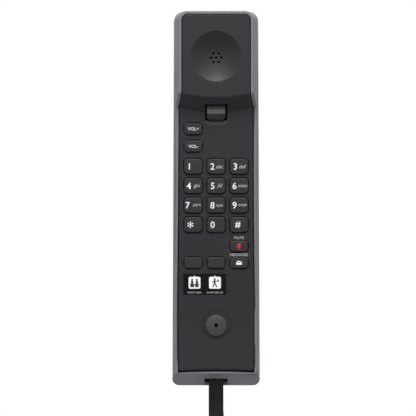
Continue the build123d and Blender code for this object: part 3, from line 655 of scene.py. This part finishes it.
def printIcons():
    middle = capPlaces["key_messages"][0]
    surface = capSurface(capPlaces["key_messages"])
    x, z = middle[0], middle[2]
    w, h = 1.6 * mm, 1.1 * mm
    gap = 0.16 * mm
    envelope = [
        [(x - w, z - h), (x + w, z - h), (x + w, z + h - 3 * gap), (x, z - 0.1 * mm),
         (x - w, z + h - 3 * gap)],
        [(x - w + gap, z + h), (x, z + 2.2 * gap), (x + w - gap, z + h)],
    ]
    polygonPiece("messages_icon", envelope, "key_messages_body", printWhite, curve=surface)
    middle = capPlaces["key_mute"][0]
    surface = capSurface(capPlaces["key_mute"])
    x, z = middle[0], middle[2]
    capsule = roundedOutline(x, z + 0.45 * mm, 0.75 * mm, 1.15 * mm, power=2.6)
    red = [
        capsule,
        boxOutline(x - 0.14 * mm, z - 1.6 * mm, x + 0.14 * mm, z - 0.95 * mm),
        boxOutline(x - 0.65 * mm, z - 1.85 * mm, x + 0.65 * mm, z - 1.6 * mm),
        strokeOutline(x - 1.0 * mm, z + 0.3 * mm, x - 0.7 * mm, z - 0.6 * mm, 0.24 * mm),
        strokeOutline(x + 0.7 * mm, z - 0.6 * mm, x + 1.0 * mm, z + 0.3 * mm, 0.24 * mm),
        strokeOutline(x - 0.72 * mm, z - 0.6 * mm, x, z - 1.05 * mm, 0.24 * mm),
        strokeOutline(x, z - 1.05 * mm, x + 0.72 * mm, z - 0.6 * mm, 0.24 * mm),
        strokeOutline(x - 1.4 * mm, z - 1.2 * mm, x + 1.3 * mm, z + 1.5 * mm, 0.3 * mm),
    ]
    polygonPiece("mute_icon", red, "key_mute_body", printRed, curve=surface)


printIcons()
windowLow, windowHigh = boxOf("card_window")
faceY = float(windowLow[1])  # the keypad face, level with the window's front


def printFace():
    lift = faceY - legendShape["lift"]
    muteTop = capPlaces["key_mute"][0][2] + capPlaces["key_mute"][3]
    messagesTop = capPlaces["key_messages"][0][2] + capPlaces["key_messages"][3]
    x = capPlaces["key_mute"][0][0]
    for name, words, z in (("mute_label", "MUTE", muteTop + legendShape["muteRise"]),
                           ("messages_label", "MESSAGES", messagesTop + legendShape["messagesRise"])):
        printLine(name, words, legendShape["label"], x, lift, z, "handset", printDim)


printFace()

micDial = {
    "radius": 6.1 * mm,
    "hole": 1.15 * mm,
    "thick": 0.25 * mm,
    "edge": 0.18 * mm,
    "lip": 0.05 * mm,
    "lifts": (1.0, 1.0, 0.75, 0.1),
    "fromBottom": 35.75 * mm,
    "chinRise": 2.2 * mm,
    "chinRun": 50 * mm,
    "band": 8 * mm,
}


def makeMicDial():
    # a thin ring with a rounded outer edge, whose front follows the face: the face comes forward as
    # the square of the way down the chin
    around = np.linspace(0, 2 * np.pi, 64, endpoint=False)
    outer = micDial["radius"]
    radii = (micDial["hole"], outer - micDial["edge"], outer - micDial["lip"], outer)
    chinTop = handsetBottom + micDial["chinRun"] + micDial["band"]
    rows = []
    for radius, lift in zip(radii, micDial["lifts"]):
        x = radius * np.cos(around)
        z = handsetBottom + micDial["fromBottom"] + radius * np.sin(around)
        down = np.clip(chinTop - z, 0, None) / micDial["chinRun"]
        y = faceY - micDial["chinRise"] * down**2 - micDial["thick"] * lift
        rows.append(np.stack([x, y, z], -1))
    rows.append(rows[-1] + np.array([0, 2 * micDial["thick"], 0]))
    rows.append(rows[0] + np.array([0, 2 * micDial["thick"], 0]))
    rows.append(rows[0])
    piece = gridPiece("microphone_dial", np.array(rows), True)
    finishPiece(piece, "handset", finishes["mic_dial"])


cardArt = {
    "tile": 6.9 * mm,
    "desk": (0.26, "FRONT DESK"),
    "service": (0.74, "ROOM SERVICE"),
    "tileRise": 0.57,
    "arrow": 0.5 * mm,
    "arrowDown": 1.5 * mm,
    "caption": 1.35 * mm,
    "captionUp": 1.1 * mm,
}


def printCard():
    y = float(windowLow[1]) - legendShape["lift"]
    width = windowHigh[0] - windowLow[0]
    height = windowHigh[2] - windowLow[2]
    tile = cardArt["tile"] / 2
    z = windowLow[2] + height * cardArt["tileRise"]
    for name in ("desk", "service"):
        share, words = cardArt[name]
        x = windowLow[0] + width * share
        corners = roundedOutline(x, z, tile, tile, 9)
        polygonPiece(name + "_tile", [corners], "handset", printWhite, y)
        top = y - 0.02 * mm
        u = tile / 10
        if name == "desk":
            figure = [
                discOutline(x - 4 * u, z + 5 * u, 1.7 * u),
                roundedOutline(x - 4 * u, z + 0.9 * u, 2.1 * u, 2.6 * u, 3),
                discOutline(x + 4 * u, z + 5 * u, 1.7 * u),
                roundedOutline(x + 4 * u, z + 0.9 * u, 2.1 * u, 2.6 * u, 3),
                boxOutline(x - 8 * u, z - 3.2 * u, x + 8 * u, z - 1.6 * u),
                boxOutline(x - 7 * u, z - 7.5 * u, x - 0.5 * u, z - 3.2 * u),
                boxOutline(x + 0.8 * u, z - 7.5 * u, x + 7 * u, z - 3.2 * u),
            ]
        else:
            figure = [
                discOutline(x - 0.5 * u, z + 6.2 * u, 1.7 * u),
                strokeOutline(x - 0.3 * u, z + 4.2 * u, x - 0.6 * u, z - 1 * u, 3.2 * u),
                strokeOutline(x - 0.6 * u, z - 0.6 * u, x - 3.8 * u, z - 7.8 * u, 1.9 * u),
                strokeOutline(x - 0.3 * u, z - 0.6 * u, x + 3.4 * u, z - 7.8 * u, 1.9 * u),
                strokeOutline(x, z + 3.4 * u, x + 4.6 * u, z + 1.6 * u, 1.3 * u),
                strokeOutline(x - 1.2 * u, z + 3.2 * u, x - 4.6 * u, z + 0.2 * u, 1.3 * u),
                boxOutline(x + 3.4 * u, z + 2.1 * u, x + 7.6 * u, z + 3.0 * u),
                roundedOutline(x + 5.4 * u, z + 4.2 * u, 1.6 * u, 1.2 * u, 2.4),
            ]
        polygonPiece(name + "_figure", figure, "handset", finishes["card_black"], top)
        arrow = cardArt["arrow"]
        up = windowHigh[2] - cardArt["arrowDown"]
        corners = [(x - arrow, up), (x + arrow, up), (x, up + 1.4 * arrow)]
        polygonPiece(name + "_arrow", [corners], "handset", printWhite, y)
        low = windowLow[2] + cardArt["captionUp"]
        printLine(name + "_caption", words, cardArt["caption"], x, y, low, "handset", printDim)


printCard()
makeMicDial()
print("stage: printing")


cord = {
    "width": 8.6 * mm,
    "thick": 2.4 * mm,
    "power": 4.5,
    "ribs": 8,
    "ribDepth": 0.09 * mm,
    "around": 72,
    "step": 2.5 * mm,
}
hank = {  # in millimetres
    "depth": 29.2,
    "below": 136.7,
    "reach": 55.0,
    "inner": 18.1,
    "waist": 1.7,
    "pitch": 3.4,
    "turns": 2.5,
    "flat": 9.0,
    "lastPoint": 19,
}
hankY = -hank["depth"]
hankZ = handsetBottom / mm - hank["below"]
exitPoint = (0.0, -31.9, handsetBottom / mm + 4.5)
hankFront = hankY - hank["inner"] - hank["turns"] * hank["pitch"]
# the lead from the handset, in millimetres
handsetLead = [
    exitPoint,
    (0, -31.9, exitPoint[2] - 19),
    (0, -35.9, exitPoint[2] - 40),
    (0, -44.4, exitPoint[2] - 60),
    (0, hankFront - 0.5, exitPoint[2] - 80),
]
# the lead back to the cradle, from the hank's waist, in millimetres
cradleLead = [
    (0.8, hankY + 1.4, hankZ + 22),
    (3.4, hankY + 0.2, hankZ + 38),
    (6.5, hankY - 0.5, hankZ + 52),
    (9.9, hankY + 5.5, hankZ + 66),
    (8.6, hankY + 11.5, hankZ + 84),
    (2.5, hankY + 16.5, hankZ + 101),
    (-0.2, hankY + 19.0, hankZ + 120),
    (0.2, hankY + 20.0, hankZ + 140),
    (0, -9.0, -86.2),
]


def hankTurns():
    # each turn runs down the front, round the lower loop, up the back and over the upper loop; a layer
    # moves in by one pitch a turn, and the flanks ease from loop to waist along a raised cosine
    legs = [48, 36, 24, 12, 0, -12, -24, -36, -48]
    bends = [20, 50, 80, 100, 130, 160]
    oneTurn = [("leg", -1, z) for z in legs] + [("low", 1, a) for a in bends]
    oneTurn += [("leg", 1, -z) for z in legs] + [("high", 1, a) for a in bends]
    points = []
    total = len(oneTurn)
    for number in range(3):
        for place, (kind, side, value) in enumerate(oneTurn):
            layer = hank["pitch"] * (hank["turns"] - number - place / total)
            if number == 2 and place > hank["lastPoint"]:
                break
            if kind == "leg":
                flank = hank["reach"] - hank["flat"]
                ease = min(max((abs(value) - hank["flat"]) / flank, 0), 1)
                swell = (1 - math.cos(math.pi * ease)) / 2
                half = hank["waist"] + (hank["inner"] - hank["waist"]) * swell
                points.append((0, hankY + side * (half + layer), hankZ + value))
            else:
                radius = hank["inner"] + layer
                turn = math.radians(value)
                way = -1 if kind == "low" else 1
                rise = way * (hank["reach"] + radius * math.sin(turn))
                points.append((0, hankY + way * radius * math.cos(turn), hankZ + rise))
    return points


def smoothLine(points, name):
    curve = bpy.data.curves.new(name, "CURVE")
    curve.dimensions = "3D"
    curve.resolution_u = 10
    spline = curve.splines.new("NURBS")
    spline.points.add(len(points) - 1)
    flat = np.ones((len(points), 4))
    flat[:, :3] = np.array(points) * mm
    spline.points.foreach_set("co", flat.ravel())
    spline.order_u = 3
    spline.use_endpoint_u = True
    holder = bpy.data.objects.new(name, curve)
    bpy.context.collection.objects.link(holder)
    bpy.context.view_layer.update()
    graph = bpy.context.evaluated_depsgraph_get()
    mesh = bpy.data.meshes.new_from_object(holder.evaluated_get(graph))
    line = np.empty(len(mesh.vertices) * 3)
    mesh.vertices.foreach_get("co", line)
    bpy.data.objects.remove(holder)
    return line.reshape(-1, 3)


def evenLine(line, step):
    # points at equal distances along a line: each coordinate interpolated over the running length
    runs = np.linalg.norm(np.diff(line, axis=0), axis=1)
    along = np.concatenate([[0], np.cumsum(runs)])
    count = int(round(along[-1] / step)) + 1
    wanted = np.linspace(0, along[-1], count)
    return np.stack([np.interp(wanted, along, line[:, k]) for k in range(3)], -1), along[-1]


def makeCord():
    route = handsetLead + hankTurns() + cradleLead
    line, length = evenLine(smoothLine(route, "cordLine"), cord["step"])
    tangent = np.gradient(line, axis=0)
    tangent /= np.linalg.norm(tangent, axis=1)[:, None]
    across = np.array([1.0, 0, 0]) - tangent * tangent[:, :1]
    across /= np.linalg.norm(across, axis=1)[:, None]
    normal = np.cross(tangent, across)
    # flat section: a superellipse whose thickness swells over each of the eight wires
    sx, sy = superRing(cord["width"] / 2, cord["thick"] / 2, cord["power"], cord["around"])
    swell = cord["ribDepth"] * (np.cos(sx / cord["width"] * 2 * np.pi * cord["ribs"]) - 1)
    sy = sy + np.sign(sy) * swell * np.clip(np.abs(sy) / (cord["thick"] / 2), 0, 1)
    points = line[:, None] + across[:, None] * sx[None, :, None] + normal[:, None] * sy[None, :, None]
    piece = gridPiece("flat_cord", points, True, caps=True)
    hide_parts("handset_cord", "cord_hank", "return_cord")
    finishPiece(piece, None, finishes["cord_black"])
    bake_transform(piece)
    makeTie()
    print("stage: cord", round(length, 4))


tie = {
    "height": 14.0 * mm,
    "thick": 0.9 * mm,
    "power": 7,
    "inset": 0.1 * mm,
    "swell": 0.06 * mm,
    "around": 80,
    "rows": 9,
}


def makeTie():
    low, high = boxOf("cord_tie")
    middle = (low + high) / 2
    halfX = (high[0] - low[0]) / 2
    halfY = (high[1] - low[1]) / 2
    # strap: an outer and an inner ring joined at both rims, with a soft swell along its height
    sx, sy = superRing(halfX, halfY, tie["power"], tie["around"])
    ix, iy = superRing(halfX - tie["thick"], halfY - tie["thick"], tie["power"], tie["around"])
    levels = np.linspace(-1, 1, tie["rows"])
    rows = []
    for level in levels:
        scale = 1 - (tie["inset"] - tie["swell"] * (1 - level**2)) / halfY
        z = np.full_like(sx, middle[2] + level * tie["height"] / 2)
        rows.append(np.stack([middle[0] + sx * scale, middle[1] + sy * scale, z], -1))
    for level in levels[::-1]:
        z = np.full_like(ix, middle[2] + level * tie["height"] / 2)
        rows.append(np.stack([middle[0] + ix, middle[1] + iy, z], -1))
    rows.append(rows[0])
    piece = gridPiece("cord_strap", np.array(rows), True)
    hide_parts("cord_tie")
    finishPiece(piece, "handset", finishes["tie_fabric"])
    return piece


makeCord()
